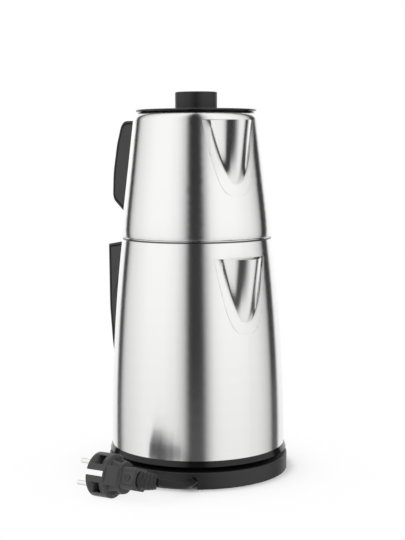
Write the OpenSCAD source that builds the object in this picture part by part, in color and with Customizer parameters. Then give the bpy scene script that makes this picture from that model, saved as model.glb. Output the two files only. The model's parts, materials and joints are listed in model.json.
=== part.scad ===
// Two-tier electric tea maker: a teapot stacked on a cordless kettle, on a round power base.
// +Z is up, the origin is on the vertical axis at the table, and both spouts point towards +X.

/* [Power base] */
// Outer radius of the power base
base_r = 83; // [76:1:95]
// Height of the base's outer rim
base_h = 15.2; // [14.8:0.2:22]
// Wall of the base moulding
base_wall = 2.2; // [1.6:0.1:3]
// Rounding of the base's upper edge
base_edge = 1.4; // [0.4:0.1:2]
// Radius of the raised seat that carries the kettle
seat_r = 62; // [58:1:66]
// Height of the seat above the rim
seat_rise = 4; // [2:0.5:8]
// Outer radius of the drum that the cord is wound on
drum_r = 52.6; // [48:0.2:52.8]
// Radius of the connector that rises from the base
connector_r = 13.2; // [11:0.1:14]
// Height of the connector above the seat
connector_h = 14.4; // [10:0.2:16]
// Thickness of the rubber feet
foot_h = 1.2; // [0.8:0.1:2.5]

/* [Kettle] */
// Outer radius of the kettle wall at its lower edge
kettle_r = 80.1; // [76:0.1:82]
// Outer radius of the kettle wall at its upper edge
kettle_top_r = 69; // [66:0.1:72]
// Height of the kettle wall
kettle_h = 190.2; // [170:0.2:215]
// Gap between the base's rim and the skirt ring
skirt_gap = 4.3; // [2.5:0.1:8]
// Height of the skirt ring under the kettle wall
skirt_h = 5.2; // [4:0.1:9]
// How far the skirt ring's lower edge stands out from the wall
skirt_flare = 2.1; // [0.5:0.1:3]
// Thickness of the steel sheet
sheet = 0.8; // [0.6:0.1:1.2]
// Height of the heating plate above the kettle's lower edge
plate_rise = 21; // [20:0.5:30]
// Width of the ledge around the kettle's mouth that carries the teapot
ledge_w = 5.5; // [4:0.1:7]

/* [Teapot] */
// Height of the teapot wall up to its shoulder
teapot_h = 105; // [95:1:120]
// Outer radius of the teapot wall at the shoulder
teapot_top_r = 57.9; // [55:0.1:60]
// How far the teapot wall's lower edge stands out from the kettle's upper edge
teapot_overhang = 0.1; // [-0.5:0.1:1]
// Depth by which the teapot's bottom sits inside the kettle's mouth
teapot_step = 9.5; // [6:0.5:12]
// Height of the rounded shoulder under the lid
shoulder_h = 6.4; // [4:0.2:9]
// Angle by which the teapot is turned on the kettle
teapot_turn = -2; // [-180:1:180]

/* [Spouts] */
// Height of the beak from its lower tip to its mouth
beak_h = 56; // [45:1:62]
// Half width of the beak at its mouth
beak_w = 19.3; // [15:0.1:22]
// How far the beak's lip stands out from the wall
beak_out = 21.5; // [14:0.5:28]
// Radius of the beak's rounded nose
beak_nose = 10; // [5:0.5:12]
// Radius of the fold where the beak meets its border
beak_fillet = 1.6; // [0.5:0.1:3]
// Half width of the border around the beak at its mouth
border_w = 26.5; // [24:0.5:30]
// Height of the border below the beak's lower tip
border_drop = 10.7; // [6:0.1:14]
// Distance from the kettle's upper edge down to its spout's mouth
kettle_mouth_drop = 13.7; // [12:0.1:25]

/* [Handles] */
// Width of the kettle's handle
kettle_handle_w = 24; // [18:1:30]
// Reach of the kettle's handle from the vertical axis
kettle_handle_reach = 139; // [134:1:150]
// Width of the teapot's handle
teapot_handle_w = 22; // [16:1:28]
// Reach of the teapot's handle from the vertical axis
teapot_handle_reach = 139.2; // [134:0.2:148]
// Thickness of the grips from inside to outside
grip_t = 24; // [20:1:27]
// Rounding of the handles' long edges
handle_edge = 2.2; // [1:0.1:4]
// Thickness of the cover strip along the back of each handle
cover_t = 2.6; // [2:0.1:4]

/* [Lid] */
// Radius of the lid
lid_r = 55.3; // [54:0.1:57]
// Thickness of the lid's disc
lid_t = 4.4; // [3.5:0.1:6]
// Radius of the lid's knob
knob_r = 19.2; // [14:0.1:24]
// Height of the knob above the lid
knob_h = 15.6; // [10:0.1:24]
// Radius of the teapot's filling hole
hole_r = 50.5; // [46:0.1:52]

/* [Cord and plug] */
// Diameter of the power cord
cord_d = 6.4; // [5.6:0.1:7]
// Radius of the plug's round head
plug_r = 19; // [18.5:0.1:19.5]
// Length of the plug's head
plug_head_l = 18.4; // [16:0.2:21]
// Diameter of the plug's pins
pin_d = 4.8; // [4:0.1:5]
// Length of the plug's pins
pin_l = 19; // [17:0.5:20]
// Distance between the plug's pins
pin_pitch = 19; // [18:0.1:20]

/* [Hidden] */
$fn = 96;

mouth_r = kettle_top_r - ledge_w;
teapot_r = kettle_top_r + teapot_overhang;

// Clearances
slip = 0.3;
fit = 0.1;
running = 0.05;
seam = 0.2;

// Levels of the stack, from the table up
floor_gap = 0.4;
seat_z = base_h + seat_rise;
skirt_z = base_h + skirt_gap;
kettle_z = skirt_z + skirt_h;
kettle_top_z = kettle_z + kettle_h;
plate_z = kettle_z + plate_rise;
bead_r = 0.65;
rim_top_z = kettle_top_z + 2 * bead_r;
teapot_z = rim_top_z + 0.8;
shoulder_z = teapot_z + teapot_h;
rim_z = shoulder_z + shoulder_h;
lid_top_z = rim_z + lid_t;
kettle_mouth_z = kettle_top_z - kettle_mouth_drop;
teapot_mouth_z = shoulder_z + 0.2;

// Kettle wall: one arc that starts upright at the lower edge
kettle_taper = kettle_r - kettle_top_r;
kettle_arc = (kettle_h * kettle_h + kettle_taper * kettle_taper) / (2 * kettle_taper);
function kettle_wall(z) =
    kettle_r - kettle_arc + sqrt(kettle_arc * kettle_arc - pow(max(0, z - kettle_z), 2));

// Teapot wall: a straight cone that rounds to upright over its lowest part
blend_h = 22;
teapot_slope = (teapot_r - teapot_top_r) / (teapot_h - blend_h / 2);
function teapot_wall(z) =
    let (s = z - teapot_z)
    s < blend_h
        ? teapot_r - teapot_slope * s * s / (2 * blend_h)
        : teapot_r - teapot_slope * (s - blend_h / 2);

// Cord store and cord
lug_t = 2;
coil_low = foot_h + lug_t + 0.6;
coil_in_r = drum_r + 0.8;
coil_turns = 2;
coil_out_r = coil_in_r + coil_turns * cord_d + 0.4;
gland_angle = 249;
cord_exit_angle = -38.7;
cord_exit_z = 7;
notch_gap = 1.3;
cord_route = [
    [59, -19.5, 7], [57, -28, 7], [57.5, -36, 7], [60, -44.5, 7], [65, -52, 7], [70, -58, 7.6], [75, -64, 8.8],
    [79, -68.5, 10], [82.5, -74.5, 11.8], [84.5, -83, 14.4], [83.5, -91.5, 16.8], [80, -99, 18.5],
];
neck_l = 11.2;
tail_l = 14.2;
plug_l = plug_head_l + neck_l + tail_l;
plug_front = [28.7, -126.4];
plug_heading = 205;
// The boot runs from the cord's end to the back of the plug, which faces plug_heading
plug_dir = [cos(plug_heading), sin(plug_heading)];
boot_end = [plug_front[0] - plug_l * plug_dir[0], plug_front[1] - plug_l * plug_dir[1], plug_r];
boot_bend = [76.6, -103.2, 18.9];
boot_rings = 18;
boot_route = [for (i = [0:boot_rings]) let (w = i / boot_rings)
    (1 - w) * (1 - w) * cord_route[len(cord_route) - 1] + 2 * w * (1 - w) * boot_bend + w * w * boot_end];

// ---------- shared shapes ----------

function rev(list) = [for (i = [len(list) - 1:-1:0]) list[i]];

// Points of an arc about c, from angle a0 to a1
function arc(c, r, a0, a1, n) =
    [for (i = [0:n]) let (a = a0 + (a1 - a0) * i / n) [c[0] + r * cos(a), c[1] + r * sin(a)]];

// Left-hand normal of the edge from a to b
function edge_normal(a, b) = let (d = [b[0] - a[0], b[1] - a[1]], l = norm(d)) [-d[1] / l, d[0] / l];

// Corner v moved by d to the left of both of its edges
function inset_corner(a, v, b, d) =
    let (n1 = edge_normal(a, v), n2 = edge_normal(v, b), k = d / (1 + n1 * n2))
    [v[0] + (n1[0] + n2[0]) * k, v[1] + (n1[1] + n2[1]) * k];

function turn_at(a, v, b) =
    let (p = [v[0] - a[0], v[1] - a[1]], q = [b[0] - v[0], b[1] - v[1]])
    atan2(p[0] * q[1] - p[1] * q[0], p * [q[0], q[1]]);

// Closed outline of [x, z, corner radius], moved inwards by d, with n steps round each corner
function round_outline(v, d, n) =
    let (c = len(v))
    [for (i = [0:c - 1])
        let (
            a = v[(i + c - 1) % c], p = v[i], b = v[(i + 1) % c],
            m = inset_corner(a, p, b, d),
            turn = turn_at(a, p, b),
            side = turn > 0 ? 1 : -1,
            r = max(0.05, p[2] - side * d),
            n1 = edge_normal(a, p),
            t = r * tan(abs(turn) / 2),
            start = [m[0] - n1[1] * t, m[1] + n1[0] * t],
            centre = [start[0] + side * r * n1[0], start[1] + side * r * n1[1]]
        )
        for (k = [0:n])
            let (w = turn * k / n, ux = -side * r * n1[0], uz = -side * r * n1[1])
            [centre[0] + ux * cos(w) - uz * sin(w), centre[1] + ux * sin(w) + uz * cos(w)]
    ];

// Triangles of the band between two rows of point numbers that run the same way
function stitch(a, b, i = 0, j = 0) =
    i == len(a) - 1 && j == len(b) - 1
        ? []
        : let (on_a = j == len(b) - 1 || (i < len(a) - 1 && (i + 1) * (len(b) - 1) <= (j + 1) * (len(a) - 1)))
        concat(
            [on_a ? [a[i], a[i + 1], b[j]] : [a[i], b[j + 1], b[j]]],
            stitch(a, b, i + (on_a ? 1 : 0), j + (on_a ? 0 : 1))
        );

// Slab in the XZ plane between an outer run of corners and an inner run that leads back,
// w wide along Y, with its long edges rounded by e
module rounded_slab(outer, inner, w, e, corner_steps = 6, edge_steps = 3) {
    v = concat(outer, inner);
    levels = [
        for (k = [0:edge_steps]) let (a = 90 - 90 * k / edge_steps) [-w / 2 + e - e * sin(a), e - e * cos(a)],
        for (k = [edge_steps:-1:0]) let (a = 90 - 90 * k / edge_steps) [w / 2 - e + e * sin(a), e - e * cos(a)],
    ];
    turn = len(outer) * (corner_steps + 1);
    count = len(v) * (corner_steps + 1);
    last = (len(levels) - 1) * count;
    points = [for (l = levels) for (p = round_outline(v, l[1], corner_steps)) [p[0], l[0], p[1]]];
    cap = stitch([for (i = [0:turn - 1]) i], [for (i = [count - 1:-1:turn]) i]);
    faces = [
        for (t = cap) rev(t),
        for (t = cap) [t[0] + last, t[1] + last, t[2] + last],
        for (j = [0:len(levels) - 2]) for (i = [0:count - 1])
            let (k = (i + 1) % count)
            [j * count + i, j * count + k, (j + 1) * count + k, (j + 1) * count + i],
    ];
    polyhedron(points = points, faces = faces, convexity = 6);
}

// Round bar of radius r[i] at each point of a route that never runs straight up
module bar_along(route, radii, sides) {
    last = len(route) - 1;
    function along(i) = route[min(last, i + 1)] - route[max(0, i - 1)];
    rings = [for (i = [0:last])
        let (
            t = along(i) / norm(along(i)),
            s = cross([0, 0, 1], t) / norm(cross([0, 0, 1], t)),
            u = cross(t, s)
        )
        for (k = [0:sides - 1])
            let (a = 360 * k / sides)
            route[i] + radii[i] * (cos(a) * s + sin(a) * u)
    ];
    faces = [
        [for (k = [0:sides - 1]) k],
        rev([for (k = [0:sides - 1]) last * sides + k]),
        for (i = [0:last - 1]) for (k = [0:sides - 1])
            let (m = (k + 1) % sides)
            [i * sides + k, (i + 1) * sides + k, (i + 1) * sides + m, i * sides + m],
    ];
    polyhedron(points = rings, faces = faces, convexity = 6);
}

module tube(r_out, r_in, z0, z1) {
    translate([0, 0, z0]) difference() {
        cylinder(r = r_out, h = z1 - z0);
        translate([0, 0, -1]) cylinder(r = r_in, h = z1 - z0 + 2);
    }
}

// Copies at equal angles on a circle of radius r
module around(count, r, start = 0) {
    for (i = [0:count - 1]) rotate(start + 360 * i / count) translate([r, 0, 0]) children();
}

// Cross-head screw that points up, with its head's top face at the origin
module screw_up(head_r, head_h, shank_r, length) {
    difference() {
        union() {
            cylinder(r = head_r, h = head_h);
            cylinder(r = shank_r, h = length);
        }
        for (a = [0, 90]) rotate(a) translate([-head_r * 0.6, -0.35, -0.01]) cube([head_r * 1.2, 0.7, head_h * 0.6]);
    }
}

// ---------- power base ----------

lug_count = 4;
lug_r = base_r - base_wall - 5.5;
boss_r = 4;
base_screw_l = 9;
boss_ring = 34;
base_top_in = base_h - base_wall;
seat_in = seat_z - base_wall;

module base_shell() {
    color([0.10, 0.10, 0.105]) difference() {
        union() {
            rotate_extrude() polygon(concat(
                [[base_r - base_wall, floor_gap], [base_r, floor_gap]],
                arc([base_r - base_edge, base_h - base_edge], base_edge, 0, 90, 6),
                [
                    [seat_r + 2, base_h], [seat_r, base_h + 0.6], [seat_r - 1.2, seat_z],
                    [connector_r + slip, seat_z], [connector_r + slip, seat_in],
                    [seat_r - 1.2 - base_wall, seat_in], [seat_r - 0.4 - base_wall, base_top_in],
                    [base_r - base_wall, base_top_in],
                ]
            ));
            tube(drum_r, drum_r - base_wall, foot_h + lug_t, base_top_in + 1);
            around(lug_count, lug_r) translate([-6, -8, foot_h]) cube([base_wall + 10, 16, lug_t]);
            around(3, boss_ring, 30) translate([0, 0, foot_h + lug_t]) cylinder(r = boss_r, h = seat_in - foot_h - lug_t + 0.5);
        }
        // way out for the cord, open downwards
        rotate(cord_exit_angle) translate([base_r - base_wall - 1, 0, 0]) {
            translate([0, 0, cord_exit_z]) rotate([0, 90, 0]) cylinder(r = cord_d / 2 + notch_gap, h = base_wall + 4);
            translate([0, -cord_d / 2 - notch_gap, -1]) cube([base_wall + 4, cord_d + 2 * notch_gap, cord_exit_z + 1]);
        }
        // slot in the drum where the cord comes out of the base
        rotate(gland_angle) translate([drum_r - base_wall - 1, -7 - fit, foot_h + lug_t - 1])
            cube([base_wall + 2, 14 + 2 * fit, cord_d + 2.4]);
        around(3, boss_ring, 30) translate([0, 0, foot_h]) cylinder(r = 1.3, h = 10);
    }
}

module base_bottom_plate() {
    color([0.12, 0.12, 0.125]) difference() {
        translate([0, 0, foot_h]) cylinder(r = drum_r - base_wall - slip, h = lug_t);
        around(3, boss_ring, 30) translate([0, 0, foot_h - 1]) cylinder(r = 1.7, h = lug_t + 2);
        around(3, boss_ring, 30) translate([0, 0, foot_h - 1]) cylinder(r = 3.2, h = 2);
        around(8, 20, 22.5) translate([-4, -1, foot_h - 1]) cube([8, 2, lug_t + 2]);
    }
}

module base_feet() {
    color([0.16, 0.16, 0.16]) {
        around(lug_count, lug_r) cylinder(r = 5, h = foot_h);
        cylinder(r = 9, h = foot_h);
    }
}

module base_screws() {
    color([0.6, 0.6, 0.62]) around(3, boss_ring, 30) translate([0, 0, foot_h + 0.1]) screw_up(2.9, 0.9, 1.25, base_screw_l);
}

// Connector: a round post with a centre bore and a ring slot, so that the kettle can sit at any angle
slot_in = 5.8;
slot_out = 8.4;
bore_r = 3.3;
post_top = seat_z + connector_h;
contact_depth = 10.5;
flange_r = connector_r + 5;

module base_connector() {
    color([0.09, 0.09, 0.095]) rotate_extrude() polygon([
        [bore_r, seat_in - 6], [flange_r, seat_in - 6], [flange_r, seat_in], [connector_r, seat_in],
        [connector_r, post_top - 1.2], [connector_r - 1.2, post_top],
        [slot_out, post_top], [slot_out, post_top - contact_depth], [slot_in, post_top - contact_depth],
        [slot_in, post_top], [bore_r + 0.8, post_top], [bore_r, post_top - 0.8],
    ]);
}

module base_centre_contact() {
    color([0.78, 0.62, 0.32]) tube(bore_r, bore_r - 0.8, seat_in - 6, post_top - 2.5);
}

module base_ring_contact() {
    color([0.78, 0.62, 0.32]) tube(slot_out, slot_out - 0.6, post_top - contact_depth, post_top - 1.5);
}

// ---------- cord and plug ----------

module cord_gland() {
    color([0.11, 0.11, 0.11]) rotate(gland_angle) difference() {
        translate([drum_r - base_wall - 9, -7, foot_h + lug_t]) cube([base_wall + 9 + 0.7, 14, cord_d + 1]);
        translate([drum_r - base_wall - 5, 0, foot_h]) cylinder(r = 1.6, h = 20);
    }
}

module cord_coil() {
    color([0.10, 0.10, 0.10]) rotate_extrude() polygon(concat(
        arc([coil_out_r - cord_d / 2, coil_low + cord_d / 2], cord_d / 2, -90, 90, 6),
        arc([coil_in_r + cord_d / 2, coil_low + cord_d / 2], cord_d / 2, 90, 270, 6)
    ));
}

module cord_lead() {
    color([0.10, 0.10, 0.10]) bar_along(cord_route, [for (p = cord_route) cord_d / 2], 10);
}

// Bend relief of the cord: rings of slits around it, in two rows between four spines
boot_slit = 1.1;

module plug_boot() {
    sides = 20;
    last = boot_rings;
    function size(i) = 6.3 + 1.5 * min(1, i / last * 1.6);
    function slit(i, k) =
        i > 1 && i < last - 1 && (i % 4 == 2 || i % 4 == 3) && k % 5 != 0 ? boot_slit : 0;
    function along(i) = boot_route[min(last, i + 1)] - boot_route[max(0, i - 1)];
    points = [for (i = [0:last])
        let (
            t = along(i) / norm(along(i)),
            s = cross([0, 0, 1], t) / norm(cross([0, 0, 1], t)),
            u = cross(t, s)
        )
        for (k = [0:sides - 1])
            let (a = 360 * k / sides, r = size(i) - slit(i, k))
            boot_route[i] + r * (cos(a) * s + sin(a) * u)
    ];
    faces = [
        [for (k = [0:sides - 1]) k],
        rev([for (k = [0:sides - 1]) last * sides + k]),
        for (i = [0:last - 1]) for (k = [0:sides - 1])
            let (m = (k + 1) % sides, a = i * sides, b = a + sides)
            each [[a + k, b + k, b + m], [a + k, b + m, a + m]],
    ];
    color([0.13, 0.13, 0.135]) polyhedron(points = points, faces = faces, convexity = 6);
}

// Moves a shape whose +Z is the direction of the pins to where the plug lies
module at_plug() {
    translate([plug_front[0], plug_front[1], plug_r]) rotate([0, 90, plug_heading]) children();
}

disc_t = 6;
collar_t = 4.5;
groove_w = 5;
groove_l = plug_head_l - 1.2;
web_h = 16;
neck_h = 17;
tail_h = 18.7;
band_t = 3.4;
rib_w = 2.2;

// Outline of a bar w wide and h high with its edges rounded by e
module soft_bar(h, w, e) {
    for (x = [-1, 1]) for (y = [-1, 1]) translate([x * (h / 2 - e), y * (w / 2 - e)]) circle(r = e, $fn = 24);
    square([h, w - 2 * e], center = true);
    square([h - 2 * e, w], center = true);
}

// Moulded plug: a round head with pockets on both sides of a web, a ribbed neck and a grip block
module plug_body() {
    color([0.14, 0.14, 0.145]) at_plug() difference() {
        union() {
            translate([0, 0, -plug_head_l]) rotate_extrude() polygon([
                [0, 0], [plug_r - 0.8, 0], [plug_r, 0.8], [plug_r, plug_head_l - 1], [plug_r - 1, plug_head_l], [0, plug_head_l],
            ]);
            // neck: web, ribs and back plate
            translate([0, 0, -plug_head_l - neck_l]) {
                intersection() {
                    rotate_extrude() polygon([[0, 0], [13.6, 0], [16.2, neck_l + 1], [0, neck_l + 1]]);
                    union() {
                        for (y = [-9, 0, 9]) translate([-20, y - rib_w / 2, 0]) cube([40, rib_w, neck_l + 1]);
                        translate([-20, -20, 0]) cube([40, 40, 2.4]);
                    }
                }
            }
            translate([-neck_h / 2, 0, 0]) rotate([0, 90, 0]) linear_extrude(height = neck_h) polygon([
                [plug_head_l - 1, -17], [plug_l - tail_l - 0.8, -14.6], [plug_l - tail_l, -13.8],
                [plug_l - tail_l, 13.8], [plug_l - tail_l - 0.8, 14.6], [plug_head_l - 1, 17],
            ]);
            // grip block
            translate([0, 0, -plug_l]) linear_extrude(height = tail_l + 0.5) soft_bar(tail_h, 19.5, 3);
        }
        // pockets above and below the web, on both sides
        for (up = [-1, 1]) for (side = [-1, 1]) scale([up, side, 1])
            translate([web_h / 2, 3, -plug_head_l + collar_t])
                cube([plug_r - band_t - web_h / 2, plug_r, plug_head_l - disc_t - collar_t]);
        // dimples on the grip block
        for (side = [-1, 1]) translate([0, side * 13.4, -plug_l + tail_l / 2]) sphere(r = 5, $fn = 48);
        // grooves for the earth clips
        for (side = [-1, 1]) scale([1, side, 1])
            translate([-groove_w / 2, plug_r - 2.2, -groove_l]) cube([groove_w, 3, groove_l + 1]);
        for (side = [-1, 1]) translate([side * pin_pitch / 2, 0, -12]) cylinder(r = pin_d / 2, h = 13);
    }
}

module plug_pins() {
    color([0.80, 0.80, 0.82]) at_plug() for (side = [-1, 1]) translate([side * pin_pitch / 2, 0, -12]) {
        cylinder(r = pin_d / 2, h = 12 + pin_l - pin_d / 4);
        translate([0, 0, 12 + pin_l - pin_d / 4]) cylinder(r1 = pin_d / 2, r2 = pin_d / 4, h = pin_d / 4);
    }
}

module plug_earth_clips() {
    color([0.82, 0.82, 0.84]) at_plug() for (side = [-1, 1]) scale([1, side, 1])
        translate([-groove_w / 2 + 0.2, plug_r - 2.2, -groove_l + 0.2]) cube([groove_w - 0.4, 0.9, groove_l - 0.4]);
}

// ---------- kettle socket, the round half that rises with the kettle ----------

socket_r = 20.5;
socket_lip_r = 23.5;
cover_t_z = 2;
socket_z = seat_z + 0.3;
cover_top = seat_z + cover_t_z;
socket_lip_z = cover_top + slip;
socket_top = plate_z - 4 - 1.4;
roof_z = post_top + 0.6;
socket_in_r = connector_r + 1.2;

module kettle_socket() {
    color([0.13, 0.13, 0.13]) rotate_extrude() polygon([
        [0, roof_z], [socket_in_r, roof_z], [socket_in_r, socket_z + 1.5], [socket_in_r + 1.5, socket_z],
        [socket_r, socket_z], [socket_r, socket_lip_z], [socket_lip_r, socket_lip_z],
        [socket_lip_r, socket_lip_z + 2], [socket_r, socket_lip_z + 2], [socket_r, socket_top], [0, socket_top],
    ]);
}

module socket_pin() {
    color([0.80, 0.66, 0.36]) {
        translate([0, 0, post_top - contact_depth + 1.5]) cylinder(r = 2, h = roof_z - post_top + contact_depth - 1.5);
        translate([0, 0, post_top - contact_depth + 0.5]) cylinder(r1 = 1, r2 = 2, h = 1);
    }
}

module socket_ring() {
    color([0.80, 0.66, 0.36]) tube(slot_out - 1.1, slot_in + 0.6, post_top - contact_depth + 1, roof_z);
}

// ---------- kettle ----------

wall_steps = 14;

// Sheet of the kettle wall between two levels, moved inwards by d
module kettle_sheet(z0, z1, t, d = 0) {
    levels = [for (i = [0:wall_steps]) z0 + (z1 - z0) * i / wall_steps];
    rotate_extrude($fn = 180) polygon(concat(
        [for (z = levels) [kettle_wall(z) - d, z]],
        [for (z = rev(levels)) [kettle_wall(z) - d - t, z]]
    ));
}

// Half width of the border at height s above its lowest point, as a rounded V
border_h = beak_h + border_drop;
function border_half(s) = border_w * pow(max(0, s) / border_h, 0.5);

// Prism through a wall, with the border's outline, grown by g
module border_prism(mouth_z, g) {
    steps = 16;
    right = [for (i = [0:steps]) let (u = i / steps) [border_half(border_h * u * u) + (i == 0 ? 0 : g), border_h * u * u]];
    translate([0, 0, mouth_z - border_h]) rotate([90, 0, 90]) linear_extrude(height = 120) polygon(concat(
        [[0, -g]],
        right,
        [[border_w + g, border_h + g], [-border_w - g, border_h + g]],
        rev([for (p = right) [-p[0], p[1]]])
    ));
}

// Stamped spout: a border that follows the wall and a hollow beak that grows out of it.
// wall(z) is given as the list of radii at the rows.
function beak_reach(t) = beak_out * pow(t, 0.85);
function beak_half(t) = beak_w * pow(t, 0.55);
function beak_nose_at(t) = let (a = 0.78 * max(crease_low, beak_half(t))) a / pow(1 + pow(a / beak_nose, 4), 0.25);
crease_low = 1.6;
nose_steps = 6;
fold_steps = 3;
border_steps = 3;
rows_low = 4;
rows_beak = 22;

// Height of each row above the border's lowest point
row_heights = concat(
    [for (i = [0:rows_low - 1]) let (u = (i + 0.5) / rows_low) border_drop * u * u],
    [for (i = [0:rows_beak]) let (u = i / rows_beak) border_drop + beak_h * pow(u, 1.4)]
);

// Point w of the way round the corner b between a and c
function bend(a, b, c, w) = (1 - w) * (1 - w) * a + 2 * w * (1 - w) * b + w * w * c;

// Point of a round wall of radius r, y across from the centre line
function on_wall(r, y) = [sqrt(r * r - y * y), y];

// One row from the centre line to the right border: points [out, across] at wall radius r, d deep
function spout_half_row(s, r, d) =
    let (
        t = max(0, (s - border_drop) / beak_h),
        edge = border_half(s),
        crease = min(edge * 0.8, max(crease_low * min(1, 0.3 + s / border_drop), beak_half(t))),
        reach = beak_reach(t),
        nose = min(beak_nose_at(t), 0.78 * crease),
        foot = on_wall(r, crease),
        centre = r + reach - nose,
        // the flat side leaves the nose where its normal meets the nose's centre
        side = 90 - acos(nose / norm([centre - foot[0], crease])) + atan2(centre - foot[0], crease),
        n1 = [cos(side), sin(side)],
        n2 = foot / r,
        leave = [centre, 0] + nose * n1,
        flat = norm(foot - leave),
        fold = min(beak_fillet * tan(abs(side - asin(crease / r)) / 2), flat * 0.45, (edge - crease) * 0.6),
        a = foot + (leave - foot) * fold / flat,
        c = on_wall(r, crease + fold),
        b = foot - (n1 + n2) * d / (1 + n1 * n2),
        tight = max(0.05, nose - d)
    )
    t == 0
    ? concat(
        [for (k = [0:nose_steps + fold_steps + 1]) let (y = crease * k / (nose_steps + fold_steps + 1)) on_wall(r, y) - [d, 0]],
        [for (k = [1:border_steps]) on_wall(r, crease + (edge - crease) * k / border_steps) - [d, 0]]
    )
    : concat(
        [for (k = [0:nose_steps]) let (w = side * k / nose_steps) [r + reach - d - tight, 0] + tight * [cos(w), sin(w)]],
        [for (k = [0:fold_steps]) bend(a - n1 * d, b, c - c / r * d, k / fold_steps)],
        [for (k = [1:border_steps]) let (y = c[1] + (edge - c[1]) * k / border_steps) on_wall(r, y) * (1 - d / r)]
    );

function mirror_row(row) =
    concat([for (i = [len(row) - 1:-1:1]) [row[i][0], -row[i][1]]], row);

module spout(mouth_z, radii) {
    low = mouth_z - border_h;
    rows = len(row_heights);
    outer = [for (i = [0:rows - 1]) mirror_row(spout_half_row(row_heights[i], radii[i], 0))];
    inner = [for (i = [0:rows - 1]) mirror_row(spout_half_row(row_heights[i], radii[i], sheet))];
    cols = len(outer[0]);
    all = rows * cols;
    points = concat(
        [for (i = [0:rows - 1]) for (p = outer[i]) [p[0], p[1], low + row_heights[i]]],
        [for (i = [0:rows - 1]) for (p = inner[i]) [p[0], p[1], low + row_heights[i]]]
    );
    faces = [
        for (i = [0:rows - 2]) for (k = [0:cols - 2]) let (a = i * cols + k, b = a + cols)
            each [[a, b, a + 1], [a + 1, b, b + 1]],
        for (i = [0:rows - 2]) for (k = [0:cols - 2]) let (a = all + i * cols + k, b = a + cols)
            each [[a, a + 1, b], [a + 1, b + 1, b]],
        for (i = [0:rows - 2]) let (a = i * cols, b = a + cols)
            each [[a, all + a, b], [b, all + a, all + b]],
        for (i = [0:rows - 2]) let (a = i * cols + cols - 1, b = a + cols)
            each [[a, b, all + a], [b, all + b, all + a]],
        for (k = [0:cols - 2]) each [[k, k + 1, all + k], [k + 1, all + k + 1, all + k]],
        for (k = [0:cols - 2]) let (a = (rows - 1) * cols + k)
            each [[a, all + a, a + 1], [a + 1, all + a, all + a + 1]],
    ];
    polyhedron(points = points, faces = faces, convexity = 8);
}

module kettle_shell() {
    color([0.78, 0.78, 0.79]) difference() {
        kettle_sheet(kettle_z, kettle_top_z, sheet);
        border_prism(kettle_mouth_z, seam);
    }
}

rim_lip = 5;

// Rolled bead and inner ledge that carry the teapot
module kettle_rim() {
    color([0.80, 0.80, 0.81]) rotate_extrude($fn = 180) polygon(concat(
        [[kettle_top_r - sheet, kettle_top_z], [kettle_top_r - 0.4, kettle_top_z]],
        arc([kettle_top_r - 0.4 - bead_r, kettle_top_z + bead_r], bead_r, 0, 90, 4),
        [
            [mouth_r + 1, rim_top_z], [mouth_r, rim_top_z - 1], [mouth_r, kettle_top_z - rim_lip],
            [mouth_r + sheet, kettle_top_z - rim_lip], [mouth_r + sheet, rim_top_z - 1.4],
            [mouth_r + 1.4, rim_top_z - sheet], [kettle_top_r - 1.6, rim_top_z - sheet],
            [kettle_top_r - 1.6, kettle_top_z],
        ]
    ));
}

module kettle_spout() {
    color([0.80, 0.80, 0.81])
        spout(kettle_mouth_z, [for (s = row_heights) kettle_wall(kettle_mouth_z - border_h + s)]);
}

// Perforated plate behind a spout: sheet of the wall with a grid of holes
module strainer_holes(mouth_z, hole_d, pitch) {
    for (row = [0:6]) for (col = [-3:3])
        if (abs(col) * pitch + (row % 2) * pitch / 2 < border_w - 9 - row * 2)
            translate([0, (col + (row % 2) * 0.5) * pitch, mouth_z - 8 - row * pitch * 0.87])
                rotate([0, 90, 0]) cylinder(r = hole_d / 2, h = 100, $fn = 24);
}

module kettle_strainer() {
    color([0.70, 0.70, 0.72]) difference() {
        intersection() {
            kettle_sheet(kettle_mouth_z - border_h - 4, kettle_mouth_z + 4, 0.6, sheet + slip);
            border_prism(kettle_mouth_z, 2.5);
        }
        strainer_holes(kettle_mouth_z, 3, 5);
    }
}

module kettle_skirt_ring() {
    color([0.07, 0.07, 0.075]) rotate_extrude($fn = 180) polygon([
        [kettle_r - 3.6, skirt_z], [kettle_r + skirt_flare - 0.3, skirt_z], [kettle_r + skirt_flare, skirt_z + 0.4],
        [kettle_r + 0.2, kettle_z], [kettle_r - sheet - fit, kettle_z], [kettle_r - sheet - fit, kettle_z + skirt_lip],
        [kettle_r - sheet - 2, kettle_z + skirt_lip], [kettle_r - sheet - 2, skirt_z + 2], [kettle_r - 3.6, skirt_z + 2],
    ]);
}

cover_screw_r = 68;
skirt_lip = 5;

module kettle_bottom_cover() {
    color([0.11, 0.11, 0.115]) difference() {
        union() {
            rotate_extrude($fn = 180) polygon([
                [socket_r + slip, seat_z], [seat_r - 3, seat_z], [seat_r - 1, skirt_z],
                [kettle_r - 3.6 - fit, skirt_z], [kettle_r - 3.6 - fit, skirt_z + 2], [seat_r - 2, skirt_z + 2],
                [seat_r - 4, cover_top], [socket_r + slip, cover_top],
            ]);
            around(3, cover_screw_r, 60) translate([0, 0, skirt_z + 1])
                cylinder(r = 4, h = plate_z - 1.8 - skirt_z - 1);
        }
        around(3, cover_screw_r, 60) translate([0, 0, skirt_z - 1]) cylinder(r = 1.7, h = 30);
        around(3, cover_screw_r, 60) translate([0, 0, skirt_z - 1]) cylinder(r = 3.3, h = 2.4);
    }
}

module kettle_cover_screws() {
    color([0.6, 0.6, 0.62]) around(3, cover_screw_r, 60) translate([0, 0, skirt_z + 0.4])
        screw_up(3, 1, 1.5, plate_z - 1.8 - skirt_z - 0.4);
}

plate_t = 1;
plate_r = kettle_r - sheet - 3.2;

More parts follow.
